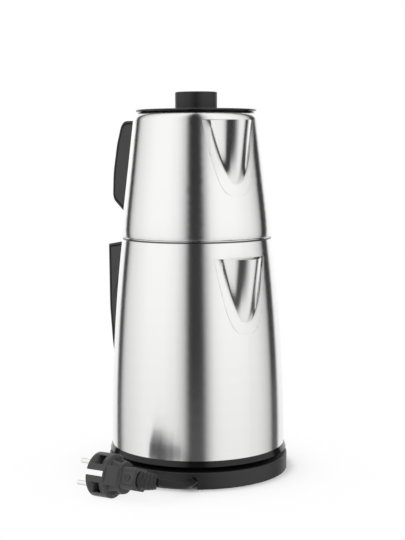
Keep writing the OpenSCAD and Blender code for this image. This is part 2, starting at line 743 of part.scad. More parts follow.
module heating_plate() {
    color([0.66, 0.66, 0.67]) rotate_extrude($fn = 180) polygon([
        [0, plate_z], [plate_r - 6, plate_z], [plate_r - 5, plate_z - 1.8], [plate_r, plate_z - 1.8],
        [plate_r, plate_z - 0.8], [plate_r - 4.4, plate_z - 0.8], [plate_r - 5.4, plate_z + plate_t], [0, plate_z + plate_t],
    ]);
}

// Silicone seal between the heating plate and the wall
module plate_seal() {
    seal_out = kettle_wall(plate_z + 1.4) - sheet - fit;
    color([0.75, 0.75, 0.73]) rotate_extrude($fn = 180) polygon([
        [plate_r + fit, plate_z - 2.8], [seal_out, plate_z - 2.8], [seal_out, plate_z + 1.4],
        [plate_r - 3.4, plate_z + 1.4], [plate_r - 3.4, plate_z - 0.8 + running],
        [plate_r + fit, plate_z - 0.8 + running],
    ]);
}

spreader_r = 54;
spreader_t = 3;
element_ring = 40;
element_r = 3.2;

module heat_spreader() {
    color([0.72, 0.73, 0.74]) translate([0, 0, plate_z - spreader_t]) cylinder(r = spreader_r, h = spreader_t);
}

// Sheathed element: a ring with a flat top under the spreader and two cold tails
module heating_element() {
    top = plate_z - spreader_t;
    color([0.45, 0.42, 0.40]) {
        rotate(30) rotate_extrude(angle = 300) translate([element_ring, top - element_r]) {
            circle(r = element_r, $fn = 32);
            translate([-element_r, 0]) square([2 * element_r, element_r]);
        }
        for (a = [31.5, 328.5]) rotate(a) translate([element_ring, 0, top - element_r - 9]) cylinder(r = 1.6, h = 9);
    }
}

module thermostat_disc() {
    color([0.55, 0.50, 0.42]) translate([0, 0, plate_z - spreader_t - 0.9]) cylinder(r = 9, h = 0.9);
}

// Ring that holds the socket's lip against the bottom cover and screws to the spreader
module control_bracket() {
    top = plate_z - spreader_t;
    color([0.20, 0.20, 0.21]) {
        rotate_extrude() polygon([
            [socket_lip_r + slip, cover_top], [socket_lip_r + 4, cover_top], [socket_lip_r + 4, top],
            [socket_r + slip, top], [socket_r + slip, socket_lip_z + 2 + slip],
            [socket_lip_r + slip, socket_lip_z + 2 + slip],
        ]);
        around(3, socket_lip_r + 6, 90) translate([-4, -5, top - 3]) cube([9, 10, 3]);
    }
}

// ---------- handles ----------

kettle_grip_top = kettle_mouth_z - 0.2;
kettle_root_top = kettle_top_z - 3.2;
kettle_root_low = kettle_z + 35;
seat_gap = 0.8;
tongue_l = 15;
tongue_w = 12;
function kettle_seat(z) = kettle_wall(z) + seat_gap;
function teapot_seat(z) = teapot_wall(z) + seat_gap;

heel_in = 13;
heel_up = 8;
back_in = 5;
back_up = 43.5;

// Outline of the kettle's handle as [distance from the axis, height, corner radius]
kettle_handle_outer = [
    [kettle_seat(kettle_root_low), kettle_root_low, 0.6],
    [kettle_handle_reach - heel_in, kettle_root_low + heel_up, 22],
    [kettle_handle_reach - back_in, kettle_root_low + back_up, 60],
    [kettle_handle_reach - 0.6, kettle_root_low + 78, 100],
    [kettle_handle_reach, kettle_grip_top, 1.2],
    [kettle_seat(kettle_root_top), kettle_root_top, 0.6],
];
kettle_handle_inner = [
    [kettle_seat(kettle_grip_top - 14), kettle_grip_top - 14, 0.6],
    [kettle_handle_reach - grip_t, kettle_grip_top - 16, 12],
    [kettle_handle_reach - grip_t - 2, kettle_root_low + 34, 12],
    [kettle_seat(kettle_root_low + 26), kettle_root_low + 26, 0.6],
];

teapot_grip_top = shoulder_z + 2;
teapot_root_low = teapot_z + 11;
teapot_handle_lean = 20.4;

teapot_handle_outer = [
    [teapot_seat(teapot_root_low), teapot_root_low, 0.6],
    [teapot_handle_reach - 27.7, teapot_root_low + 3.5, 40],
    [teapot_handle_reach, teapot_root_low + 18.5, 9],
    [teapot_handle_reach - 1.6, teapot_root_low + 44, 70],
    [teapot_handle_reach - 9.6, teapot_root_low + 73, 60],
    [teapot_handle_reach - teapot_handle_lean, teapot_grip_top, 14],
    [teapot_seat(teapot_grip_top), teapot_grip_top, 0.6],
];
teapot_handle_inner = [
    [teapot_seat(teapot_grip_top - 20), teapot_grip_top - 20, 0.6],
    [teapot_handle_reach - grip_t - teapot_handle_lean + 4, teapot_grip_top - 21, 9],
    [teapot_handle_reach - grip_t - 4.2, teapot_root_low + 24, 9],
    [teapot_seat(teapot_root_low + 19), teapot_root_low + 19, 0.6],
];

// The outer run of corners moved inwards by d; its two ends slide along the wall side
function inner_run(run, d) =
    let (n = len(run))
    [for (i = [0:n - 1])
        i == 0 ? [run[0][0], run[0][1] + d, 0.4]
        : i == n - 1 ? [run[i][0], run[i][1] - d, 0.4]
        : let (m = inset_corner(run[i - 1], run[i], run[i + 1], d)) [m[0], m[1], max(0.4, run[i][2] - d)]
    ];

module handle_body(run, inner, w) {
    mirror([1, 0, 0]) rounded_slab(inner_run(run, cover_t), inner, w, handle_edge);
}

// Strip along the back of the handle
module handle_cover(run, w) {
    mirror([1, 0, 0]) rounded_slab(run, rev(inner_run(run, cover_t - fit)), w, 0.7, 6, 2);
}

// Steel tongue, welded to the wall, that reaches into one arm of a handle; g grows it into its pocket
module tongue(wall_r, z0, z1, g = 0) {
    translate([-wall_r - tongue_l - g, -tongue_w / 2 - g, z0 - g]) cube([tongue_l + 20, tongue_w + 2 * g, z1 - z0 + 2 * g]);
}

kettle_tongues = [
    [kettle_wall(kettle_grip_top), kettle_grip_top - 9, kettle_root_top - cover_t - 9],
    [kettle_wall(kettle_root_low), kettle_root_low + 10, kettle_root_low + 21],
];
teapot_tongues = [
    [teapot_wall(teapot_grip_top), teapot_grip_top - 16, teapot_grip_top - cover_t - 3],
    [teapot_wall(teapot_root_low), teapot_root_low + 8, teapot_root_low + 15],
];
screw_in = 9;
kettle_screw_x = -kettle_wall(kettle_root_low) - screw_in;
teapot_screw_x = -teapot_wall(teapot_root_low) - screw_in;

// Rocker switch in the heel of the kettle's handle, square to the handle's back there
rocker_up = 34;
rocker_in = 6.6;
rocker_w = 12;
rocker_half = 10;
rocker_tilt = 6;
pivot_r = 1.5;
back_lean = atan2(heel_in - back_in, back_up - heel_up);
back_at_rocker = kettle_handle_reach - heel_in + (rocker_up - heel_up) * tan(back_lean);
rocker_x = -back_at_rocker + rocker_in / cos(back_lean);
rocker_z = kettle_root_low + rocker_up;
lens_r = 3;
lens_z = rocker_z + 24;

module at_rocker() {
    translate([rocker_x, 0, rocker_z]) rotate([0, -back_lean, 0]) children();
}

module rocker_slot() {
    at_rocker() translate([-rocker_in - 6, -rocker_w / 2 - slip, -rocker_half - 1.4])
        cube([rocker_in + 11, rocker_w + 2 * slip, 2 * rocker_half + 2.8]);
}

module kettle_handle() {
    color([0.20, 0.20, 0.21]) difference() {
        handle_body(kettle_handle_outer, kettle_handle_inner, kettle_handle_w);
        rocker_slot();
        translate([rocker_x, 20, rocker_z]) rotate([90, 0, 0]) cylinder(r = pivot_r, h = 40);
        for (t = kettle_tongues) tongue(t[0], t[1], t[2], fit);
        translate([kettle_screw_x, 0, kettle_root_low - 5]) cylinder(r = 3.6, h = 11);
        translate([kettle_screw_x, 0, kettle_root_low - 5]) cylinder(r = 1.7, h = 24);
        translate([-kettle_handle_reach, 0, lens_z]) rotate([0, 90, 0]) cylinder(r = lens_r, h = 12);
    }
}

module kettle_handle_cover() {
    color([0.13, 0.13, 0.135]) difference() {
        handle_cover(kettle_handle_outer, kettle_handle_w);
        rocker_slot();
        translate([kettle_screw_x, 0, kettle_root_low - 5]) cylinder(r = 3.6, h = 11);
        translate([-kettle_handle_reach - 4, 0, lens_z]) rotate([0, 90, 0]) cylinder(r = lens_r, h = 16);
    }
}

module kettle_handle_mounts() {
    color([0.74, 0.74, 0.75]) difference() {
        union() {
            for (t = kettle_tongues) tongue(t[0], t[1], t[2]);
        }
        kettle_sheet(kettle_z, kettle_top_z, 40, -running);
        translate([kettle_screw_x, 0, kettle_root_low]) cylinder(r = 1.6, h = 16);
    }
}

module kettle_handle_screws() {
    color([0.6, 0.6, 0.62]) translate([kettle_screw_x, 0, kettle_root_low + 4.8])
        screw_up(3.3, 1.2, 1.6 - running, 11);
}

// Rocker that picks boiling or keeping warm; it tips about a pin across the handle
module switch_rocker() {
    nose = rocker_in + 1.5;
    color([0.55, 0.10, 0.08]) at_rocker() rotate([90, -rocker_tilt, 0]) difference() {
        translate([0, 0, -rocker_w / 2]) linear_extrude(height = rocker_w) polygon([
            [-nose, -rocker_half], [-nose + 0.9, 0], [-nose, rocker_half], [-nose + 3, rocker_half + 0.3],
            [0, 4.2], [2.8, 3], [3.4, 0], [2.8, -3], [0, -4.2], [-nose + 3, -rocker_half - 0.3],
        ]);
        translate([0, 0, -rocker_w]) cylinder(r = pivot_r + running, h = 2 * rocker_w);
    }
}

module switch_pin() {
    color([0.6, 0.6, 0.62]) translate([rocker_x, kettle_handle_w / 2 - 2, rocker_z])
        rotate([90, 0, 0]) cylinder(r = pivot_r, h = kettle_handle_w - 4);
}

module pilot_lens() {
    color([0.85, 0.35, 0.10]) translate([-kettle_handle_reach + 3, 0, lens_z])
        rotate([0, 90, 0]) cylinder(r = lens_r - fit, h = 9 - fit);
}

// ---------- teapot ----------

// Sheet of the teapot wall between two levels, moved inwards by d
module teapot_sheet(z0, z1, t, d = 0) {
    levels = [for (i = [0:wall_steps]) z0 + (z1 - z0) * i / wall_steps];
    rotate_extrude($fn = 180) polygon(concat(
        [for (z = levels) [teapot_wall(z) - d, z]],
        [for (z = rev(levels)) [teapot_wall(z) - d - t, z]]
    ));
}

shoulder_r = shoulder_h - 0.6;

module teapot_shell() {
    levels = [for (i = [0:wall_steps]) teapot_z + teapot_h * i / wall_steps];
    top_c = [teapot_top_r - shoulder_r, shoulder_z];
    color([0.78, 0.78, 0.79]) rotate(teapot_turn) difference() {
        rotate_extrude($fn = 180) polygon(concat(
            [[mouth_r + 0.6, teapot_z]],
            [[teapot_r - 0.8, teapot_z], [teapot_r, teapot_z + 0.8]],
            [for (i = [1:wall_steps]) [teapot_wall(levels[i]), levels[i]]],
            arc(top_c, shoulder_r, 4, 90, 8),
            [[hole_r + 0.6, rim_z - 0.6], [hole_r, rim_z - 1.2], [hole_r, rim_z - 3.4], [hole_r + sheet, rim_z - 3.4]],
            [[hole_r + sheet, rim_z - 0.6 - sheet]],
            rev(arc(top_c, shoulder_r - sheet, 4, 90, 8)),
            [for (i = [wall_steps:-1:1]) [teapot_wall(levels[i]) - sheet, levels[i]]],
            [[teapot_r - sheet, teapot_z + sheet + 0.4], [mouth_r + 0.6, teapot_z + sheet]]
        ));
        border_prism(teapot_mouth_z, seam);
    }
}

// Stepped bottom that drops into the kettle's mouth and rests on its rim
module teapot_bottom() {
    step_r = mouth_r - 1.2;
    low = teapot_z - teapot_step;
    color([0.74, 0.74, 0.75]) rotate_extrude($fn = 180) polygon([
        [0, low], [step_r - 3, low], [step_r, low + 3], [step_r, rim_top_z], [mouth_r + 3, rim_top_z],
        [mouth_r + 3, teapot_z], [mouth_r + 0.5, teapot_z], [mouth_r + 0.5, teapot_z + sheet],
        [step_r - sheet, teapot_z + sheet], [step_r - sheet, low + 3.3], [step_r - 3.3, low + sheet], [0, low + sheet],
    ]);
}

module teapot_spout() {
    color([0.80, 0.80, 0.81]) rotate(teapot_turn)
        spout(teapot_mouth_z, [for (s = row_heights) teapot_wall(teapot_mouth_z - border_h + s)]);
}

module teapot_strainer() {
    color([0.70, 0.70, 0.72]) rotate(teapot_turn) difference() {
        intersection() {
            teapot_sheet(teapot_mouth_z - border_h - 4, teapot_mouth_z - 0.5, 0.6, sheet + slip);
            border_prism(teapot_mouth_z, 2.5);
        }
        strainer_holes(teapot_mouth_z, 2.4, 4.6);
    }
}

module teapot_handle() {
    color([0.20, 0.20, 0.21]) rotate(teapot_turn) difference() {
        handle_body(teapot_handle_outer, teapot_handle_inner, teapot_handle_w);
        for (t = teapot_tongues) tongue(t[0], t[1], t[2], fit);
        translate([teapot_screw_x, 0, teapot_root_low - 5]) cylinder(r = 3.6, h = 9);
        translate([teapot_screw_x, 0, teapot_root_low - 5]) cylinder(r = 1.7, h = 20);
    }
}

module teapot_handle_cover() {
    color([0.13, 0.13, 0.135]) rotate(teapot_turn) difference() {
        handle_cover(teapot_handle_outer, teapot_handle_w);
        translate([teapot_screw_x, 0, teapot_root_low - 5]) cylinder(r = 3.6, h = 9);
    }
}

module teapot_handle_mounts() {
    color([0.74, 0.74, 0.75]) rotate(teapot_turn) difference() {
        union() {
            for (t = teapot_tongues) tongue(t[0], t[1], t[2]);
        }
        teapot_sheet(teapot_z, shoulder_z + 4, 40, -running);
        translate([teapot_screw_x, 0, teapot_root_low]) cylinder(r = 1.6, h = 13);
    }
}

module teapot_handle_screws() {
    color([0.6, 0.6, 0.62]) rotate(teapot_turn) translate([teapot_screw_x, 0, teapot_root_low + 2.8])
        screw_up(3.3, 1.2, 1.6 - running, 10);
}

// ---------- lid ----------

knob_edge = 0.8;
collar_h = 8.4;
collar_wall = 2.2;

module lid_disc() {
    color([0.08, 0.08, 0.085]) difference() {
        rotate_extrude($fn = 180) polygon(concat(
            [[0, rim_z - 0.6]],
            [[hole_r + 1.1, rim_z - 0.6], [lid_r - 0.8, rim_z + 0.8]],
            arc([lid_r - 1.4, rim_z + lid_t - 1.8], 1.4, -10, 80, 5),
            [[lid_r - 4, lid_top_z], [0, lid_top_z]]
        ));
        translate([0, 0, rim_z - 2]) cylinder(r = 2, h = lid_t + 3);
        rotate(200) translate([44, 0, rim_z - 2]) cylinder(r = 1.5, h = lid_t + 3);
    }
}

// Collar that drops into the filling hole
module lid_skirt() {
    color([0.10, 0.10, 0.105]) tube(hole_r - 1.2, hole_r - 1.2 - collar_wall, rim_z - 0.6 - collar_h, rim_z - 0.6);
}

module lid_seal() {
    color([0.70, 0.70, 0.68]) tube(hole_r - slip, hole_r - 1.2, rim_z - 6.5, rim_z - 4.2);
}

module lid_knob() {
    color([0.15, 0.15, 0.155]) difference() {
        rotate_extrude() polygon(concat(
            [[0, lid_top_z], [knob_r - 0.4, lid_top_z], [knob_r, lid_top_z + 0.4]],
            arc([knob_r - knob_edge, lid_top_z + knob_h - knob_edge], knob_edge, 0, 90, 5),
            [[0, lid_top_z + knob_h]]
        ));
        translate([0, 0, lid_top_z - 1]) cylinder(r = 1.6, h = 10);
    }
}

module lid_screw() {
    color([0.6, 0.6, 0.62]) translate([0, 0, rim_z - 0.6 - 1.4]) screw_up(4, 1.4, 1.55, lid_t + 8);
}

// ---------- drawing ----------

base_shell();
base_bottom_plate();
base_feet();
base_screws();
base_connector();
base_centre_contact();
base_ring_contact();
cord_gland();
cord_coil();
cord_lead();
plug_boot();
plug_body();
plug_pins();
plug_earth_clips();
kettle_socket();
socket_pin();
socket_ring();
kettle_shell();
kettle_rim();
kettle_spout();
kettle_strainer();
kettle_skirt_ring();
kettle_bottom_cover();
kettle_cover_screws();
heating_plate();
plate_seal();
heat_spreader();
heating_element();
thermostat_disc();
control_bracket();
kettle_handle();
kettle_handle_cover();
kettle_handle_mounts();
kettle_handle_screws();
switch_rocker();
switch_pin();
pilot_lens();
teapot_shell();
teapot_bottom();
teapot_spout();
teapot_strainer();
teapot_handle();
teapot_handle_cover();
teapot_handle_mounts();
teapot_handle_screws();
lid_disc();
lid_skirt();
lid_seal();
lid_knob();
lid_screw();
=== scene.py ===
import json
import math
from functools import partial

import bmesh
import bpy
from mathutils import Matrix, Vector


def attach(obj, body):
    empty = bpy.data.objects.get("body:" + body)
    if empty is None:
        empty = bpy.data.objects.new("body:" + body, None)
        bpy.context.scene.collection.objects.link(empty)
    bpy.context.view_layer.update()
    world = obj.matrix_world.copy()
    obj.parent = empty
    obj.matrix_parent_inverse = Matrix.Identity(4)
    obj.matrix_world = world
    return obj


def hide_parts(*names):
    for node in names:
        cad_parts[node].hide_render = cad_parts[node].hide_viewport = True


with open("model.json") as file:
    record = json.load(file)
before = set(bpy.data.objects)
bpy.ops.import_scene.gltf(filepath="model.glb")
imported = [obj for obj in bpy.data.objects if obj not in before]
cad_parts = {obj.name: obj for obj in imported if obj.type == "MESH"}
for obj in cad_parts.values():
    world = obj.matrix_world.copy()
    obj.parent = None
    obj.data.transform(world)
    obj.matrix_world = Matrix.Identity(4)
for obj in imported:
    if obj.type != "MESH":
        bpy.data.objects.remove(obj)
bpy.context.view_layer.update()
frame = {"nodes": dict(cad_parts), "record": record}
scene = bpy.context.scene
scene.view_settings.view_transform = "Standard"

# ---------- camera ----------

# Where the camera stands: its turn from the X axis, its distance from the Z axis and its height, in metres
CAM_AZIMUTH, CAM_DISTANCE, CAM_HEIGHT = math.radians(-35), 1.11564, 0.3037
# How far it looks down, aside and tilted
CAM_PITCH, CAM_YAW, CAM_ROLL = math.radians(6.079), math.radians(0.2543), math.radians(0.332)
# Focal length and height of the film, in millimetres
CAM_LENS, CAM_FILM = 80.6, 36
# Nearest thing that it sees, in metres
CAM_NEAR = 0.05


def make_camera():
    """Camera at the fitted place, with the fitted pitch, yaw and roll."""
    across = Vector((math.cos(CAM_YAW), -math.sin(CAM_YAW), 0))
    level = Vector((math.sin(CAM_YAW), math.cos(CAM_YAW), 0))
    forward = math.cos(CAM_PITCH) * level + Vector((0, 0, -math.sin(CAM_PITCH)))
    above = math.sin(CAM_PITCH) * level + Vector((0, 0, math.cos(CAM_PITCH)))
    right = math.cos(CAM_ROLL) * across - math.sin(CAM_ROLL) * above
    up = math.cos(CAM_ROLL) * above + math.sin(CAM_ROLL) * across
    turn = Matrix.Rotation(CAM_AZIMUTH + math.radians(90), 3, "Z")
    axes = Matrix((right, up, -forward)).transposed()
    place = turn @ Vector((0, -CAM_DISTANCE, CAM_HEIGHT))
    data = bpy.data.cameras.new("photo_camera")
    data.sensor_fit = "VERTICAL"
    data.sensor_height = CAM_FILM
    data.lens = CAM_LENS
    data.clip_start = CAM_NEAR
    camera = bpy.data.objects.new("photo_camera", data)
    camera.matrix_world = Matrix.Translation(place) @ (turn @ axes).to_4x4()
    scene.collection.objects.link(camera)
    scene.camera = camera


make_camera()

# ---------- making of pieces ----------

# Points nearer than this, in metres, are one point
WELD_NEAR = 0.000002
# How much the larger faces count in a smooth-shaded piece's normals
NORMAL_WEIGHT = 60


def smooth_step(x):
    """From 0 to 1 as x goes from 0 to 1, level at both ends."""
    x = min(1, max(0, x))
    return x * x * (3 - 2 * x)


def catmull(points, steps):
    """Smooth line through the points, with so many steps between each two."""
    line = []
    for i in range(len(points) - 1):
        p0, p1 = points[max(0, i - 1)], points[i]
        p2, p3 = points[i + 1], points[min(len(points) - 1, i + 2)]
        for k in range(steps):
            t = k / steps
            line.append(0.5 * (2 * p1 + (p2 - p0) * t + (2 * p0 - 5 * p1 + 4 * p2 - p3) * t * t
                               + (3 * p1 - p0 - 3 * p2 + p3) * t ** 3))
    line.append(points[-1])
    return line


def add_piece(name, mesh):
    """New object of the mesh, in the scene."""
    piece = bpy.data.objects.new(name, mesh)
    scene.collection.objects.link(piece)
    return piece


def tube_piece(name, points, radius, sides=16):
    """Round tube along the points, closed at both ends."""
    form = bmesh.new()
    side = Vector((0, 0, 1))
    turns = [math.tau * k / sides for k in range(sides)]
    rings = []
    for i, p in enumerate(points):
        run = (points[min(i + 1, len(points) - 1)] - points[max(i - 1, 0)]).normalized()
        side = (side - run * side.dot(run)).normalized()
        other = run.cross(side)
        rings.append([form.verts.new(p + radius * (math.cos(a) * side + math.sin(a) * other)) for a in turns])
    for low, high in zip(rings, rings[1:]):
        for k in range(sides):
            n = (k + 1) % sides
            form.faces.new((low[k], low[n], high[n], high[k])).smooth = True
    form.faces.new(rings[0][::-1])
    form.faces.new(rings[-1])
    mesh = bpy.data.meshes.new(name)
    form.to_mesh(mesh)
    form.free()
    return add_piece(name, mesh)


def formed_piece(name, node, body, slot, sharp, shape=None):
    """Smooth-shaded copy of a CAD node that stands for it, reshaped by shape(form).

    Edges above the angle sharp, in degrees, stay edges."""
    mesh = frame["nodes"][node].data.copy()
    form = bmesh.new()
    form.from_mesh(mesh)
    bmesh.ops.remove_doubles(form, verts=form.verts, dist=WELD_NEAR)
    if shape is not None:
        shape(form)
    for face in form.faces:
        face.smooth = True
    form.to_mesh(mesh)
    form.free()
    mesh.name = name
    mesh.set_sharp_from_angle(angle=math.radians(sharp))
    piece = add_piece(name, mesh)
    even = piece.modifiers.new("even_normals", "WEIGHTED_NORMAL")
    even.keep_sharp = True
    even.weight = NORMAL_WEIGHT
    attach(piece, body)
    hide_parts(node)
    return piece


# ---------- cord and plug ----------

CORD_D = 0.0064
# The coil in the base's store: radii of the inner and the outer turn, and height, all at the cord's middle
COIL_IN, COIL_OUT, COIL_Z = 0.0567, 0.0633, 0.007
# Directions in which it starts, at the gland, and ends, at the notch, in degrees, and the points along it
COIL_START, COIL_END, COIL_STEPS = 256, -18.3, 126
# It comes out of the gland so much further in, and takes so many degrees to reach the inner turn
GLAND_TUCK, GLAND_SWEEP = 0.0028, 30
# It swings over to the lead in its last degrees
LEAVE_SWEEP = 20
# Where the lead crosses over it, the inner turn gives way downwards and inwards, so many degrees to each side
DIP_DOWN, DIP_IN, DIP_SWEEP = 0.0012, 0.00085, 20
# The lead from the coil to the bend relief, in millimetres, and the steps between each two of its points
LEAD = [
    (59, -19.5, 7), (57, -28, 7), (57.5, -36, 7), (60, -44.5, 7),
    (65, -52, 7), (70, -58, 7.6), (75, -64, 8.8), (79, -68.5, 10),
    (82.5, -74.5, 11.8), (84.5, -83, 14.4), (83.5, -91.5, 16.8), (80, -99, 18.5),
]
LEAD_STEPS = 3
# Middle of the plug's front face, in metres, the way the plug points, and its turn about its own axis
PLUG_FRONT = Vector((0.0287, -0.1264, 0.019))
PLUG_HEADING, PLUG_ROLL = math.radians(205), math.radians(20)


def coil_points():
    """Nearly two turns in the base's store, wound clockwise from the gland outwards."""
    crossing = COIL_START - COIL_END
    sweep = crossing + 360
    lead_r = math.hypot(LEAD[0][0], LEAD[0][1]) / 1000
    points = []
    for i in range(COIL_STEPS):
        s = sweep * i / COIL_STEPS
        dip = max(0, 1 - ((s - crossing) / DIP_SWEEP) ** 2) ** 2
        r = COIL_IN + (COIL_OUT - COIL_IN) * smooth_step((s - crossing) / (360 - crossing))
        r -= GLAND_TUCK * (1 - smooth_step(s / GLAND_SWEEP))
        r -= (COIL_OUT - lead_r) * smooth_step((s - sweep + LEAVE_SWEEP) / LEAVE_SWEEP)
        r -= DIP_IN * dip
        a = math.radians(COIL_START - s)
        points.append(Vector((r * math.cos(a), r * math.sin(a), COIL_Z - DIP_DOWN * dip)))
    return points


def roll_plug(form):
    """Turn a piece of the plug about the plug's own axis."""
    axis = Vector((math.cos(PLUG_HEADING), math.sin(PLUG_HEADING), 0))
    bmesh.ops.rotate(form, verts=form.verts, cent=PLUG_FRONT, matrix=Matrix.Rotation(PLUG_ROLL, 3, axis))


# Piece, CAD node, body, material slot, sharp angle and shape
PLUG = [
    ("plug_head", "plug_body", "power_base", "plug", 40, roll_plug),
    ("plug_contact_pins", "plug_pins", "power_base", "nickel", 40, roll_plug),
    ("plug_side_clips", "plug_earth_clips", "power_base", "nickel", 40, roll_plug),
]

cord_line = coil_points() + catmull([Vector(p) / 1000 for p in LEAD], LEAD_STEPS)
cord = tube_piece("power_cord", cord_line, CORD_D / 2)
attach(cord, "power_base")
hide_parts("cord_coil", "cord_lead")
boot = formed_piece("plug_strain_relief", "plug_boot", "power_base", "plug", 50)
plug = [formed_piece(*row) for row in PLUG]

# ---------- stamped beaks ----------

# The CAD's beak: height, half width and reach at the mouth, in metres, and the powers by which they grow
BEAK_H, BEAK_W, BEAK_OUT = 0.056, 0.0193, 0.0215
WIDTH_POWER, OUT_POWER = 0.55, 0.85
# Its least half width, the largest radius of its nose, and the nose's radius as a share of its half width
CREASE_LOW, BEAK_NOSE, NOSE_SHARE = 0.0016, 0.010, 0.78
# Its border: how far below the beak it starts, its half width at the top, and the share the beak may fill
BORDER_DROP, BORDER_W, BORDER_SHARE = 0.0107, 0.0265, 0.8
BORDER_H = BEAK_H + BORDER_DROP

# The crowned beak: half width and reach at the mouth, the power by which it widens, and its least half width
ARCH_W, ARCH_OUT, ARCH_POWER, ARCH_LOW = 0.0202, 0.0164, 0.38, CREASE_LOW * 1.3
# The flank's bend: its pull at the foot and at the tip, as shares of the chord, and the steps along it
ARCH_PULL, ARCH_STEPS = (0.35, 0.6), 40
# Turn from the chord at the foot, the power by which it grows upwards, and turn at the tip, of each beak
KETTLE_TURNS = (math.radians(15), 0.1, math.radians(16))
TEAPOT_TURNS = (math.radians(25), 0.5, math.radians(17.5))
# The power by which the turn at the tip grows, and the tip's rounding as a share of the half width
TIP_POWER, TIP_ROUND = 1.12, 0.18
# Size of the hollow fold along the foot, as a share of the half width, and what the height adds to it
FOLD_SOFT, FOLD_GROWTH = 0.14, 0.09
# Share of the beak's height above which the sections are the beak's, and slices to each side of its middle
BEAK_START, BEAK_SLICES = 0.004, 26

# The border as a flange: half width at the top, the power by which it widens, and thickness on the wall
FLANGE_W, FLANGE_POWER, FLANGE_T = 0.0275, 0.3, 0.00028
# Heights of the rows that are added in its low end
FLANGE_ROWS = (0.0004, 0.0009, 0.0022, 0.0032, 0.0054, 0.0067)
# What counts as the beak's outer skin, the border's edge and the wall's inner side: so far from it, in metres
SKIN_NEAR, EDGE_NEAR, INNER_NEAR = 0.0005, 0.0005, 0.0004
# The flange's back lies on the wall from so far inside the CAD's border, with so much air under it
LAP_NEAR, LAP_LIFT = 0.0003, 0.00003
# A cut this near to a point, in metres, goes through the point
SLICE_NEAR = 0.00001
# Keeps a division from being by nothing
TINY = 0.0000001


def held_below(value, limit):
    """The value, levelling off towards the limit."""
    return value / (1 + (value / limit) ** 4) ** 0.25


def cad_section(t, r, crease):
    """Outer line of the CAD's beak at one height: a function from the distance across to the distance out.

    t is the height as a share of the beak's, r the wall's radius and crease the beak's half width there."""
    full_nose = NOSE_SHARE * max(CREASE_LOW, BEAK_W * t ** WIDTH_POWER)
    nose = min(held_below(full_nose, BEAK_NOSE), NOSE_SHARE * crease)
    foot = math.sqrt(r * r - crease * crease)
    centre = r + BEAK_OUT * t ** OUT_POWER - nose
    chord = math.hypot(centre - foot, crease)
    side = math.pi / 2 - math.acos(nose / chord) + math.atan2(centre - foot, crease)
    leave = (centre + nose * math.cos(side), nose * math.sin(side))

    def out(y):
        if y < leave[1]:
            return centre + math.sqrt(nose * nose - y * y)
        return foot + (crease - y) / (crease - leave[1]) * (leave[0] - foot)

    return out


def cubic_bend(p, steps):
    """Points along the cubic bend between p[0] and p[3] that is pulled to p[1] and p[2]."""
    line = []
    for i in range(steps + 1):
        u = i / steps
        v = 1 - u
        line.append(v ** 3 * p[0] + 3 * u * v ** 2 * p[1] + 3 * u * u * v * p[2] + u ** 3 * p[3])
    return line


def arched_section(t, r, crease, turns):
    """The same for the crowned beak, a pointed arch with a rounded tip and crowned flanks."""
    foot_turn, foot_power, tip_turn = turns
    foot = math.sqrt(r * r - crease * crease)
    tip = r + ARCH_OUT * t ** OUT_POWER
    middle, chord = math.atan2(tip - foot, crease), math.hypot(tip - foot, crease)
    start = middle + foot_turn * t ** foot_power
    end = middle - tip_turn * t ** TIP_POWER
    a, b = ARCH_PULL[0] * chord, ARCH_PULL[1] * chord
    foot_pull = Vector((foot + a * math.sin(start), crease - a * math.cos(start)))
    tip_pull = Vector((tip - b * math.sin(end), b * math.cos(end)))
    line = cubic_bend([Vector((foot, crease)), foot_pull, tip_pull, Vector((tip, 0))], ARCH_STEPS)
    k = TIP_ROUND * crease

    def flank(y):
        if y > crease:
            return foot - (y - crease) * math.tan(start)
        y = (math.hypot(y, k) - k) * crease / (math.hypot(crease, k) - k)
        for p, q in zip(line, line[1:]):
            if y >= q.y:
                return p.x + (q.x - p.x) * (p.y - y) / max(p.y - q.y, TINY)
        return tip

    def out(y):
        """The flank runs into the wall in a hollow fold."""
        beak, wall, fold = flank(y), math.sqrt(r * r - y * y), crease * (FOLD_SOFT + FOLD_GROWTH * t)
        return max(beak, wall) + max(0, fold - abs(beak - wall)) ** 2 / (4 * fold)

    return out


def slice_at(form, place, across):
    """Cut the faces along the plane through place that is square to across."""
    everything = form.verts[:] + form.edges[:] + form.faces[:]
    bmesh.ops.bisect_plane(form, geom=everything, dist=SLICE_NEAR, plane_co=place, plane_no=across)


def turn_form(form, angle):
    """Turn the form about the pot's axis."""
    bmesh.ops.rotate(form, verts=form.verts, cent=(0, 0, 0), matrix=Matrix.Rotation(angle, 3, "Z"))


def border_levels(form, low):
    """Rows of points: height, half widths of the CAD's border and of the flange, and radius of the wall."""
    halves, radii = {}, {}
    for v in form.verts:
        z = round(v.co.z, 5)
        halves[z] = max(halves.get(z, 0), abs(v.co.y))
    for v in form.verts:
        z = round(v.co.z, 5)
        if abs(v.co.y) > halves[z] - EDGE_NEAR:
            radii[z] = max(radii.get(z, 0), v.co.xy.length)
    levels = []
    for z in sorted(halves):
        flange = FLANGE_W * ((z - low) / BORDER_H) ** FLANGE_POWER
        levels.append((z, halves[z], flange, radii[z]))
    return levels


def level_at(levels, z):
    """The two half widths and the radius at any height."""
    for a, b in zip(levels, levels[1:]):
        if z <= b[0]:
            w = max(0, (z - a[0]) / (b[0] - a[0]))
            return [p + (q - p) * w for p, q in zip(a[1:], b[1:])]
    return levels[-1][1:]


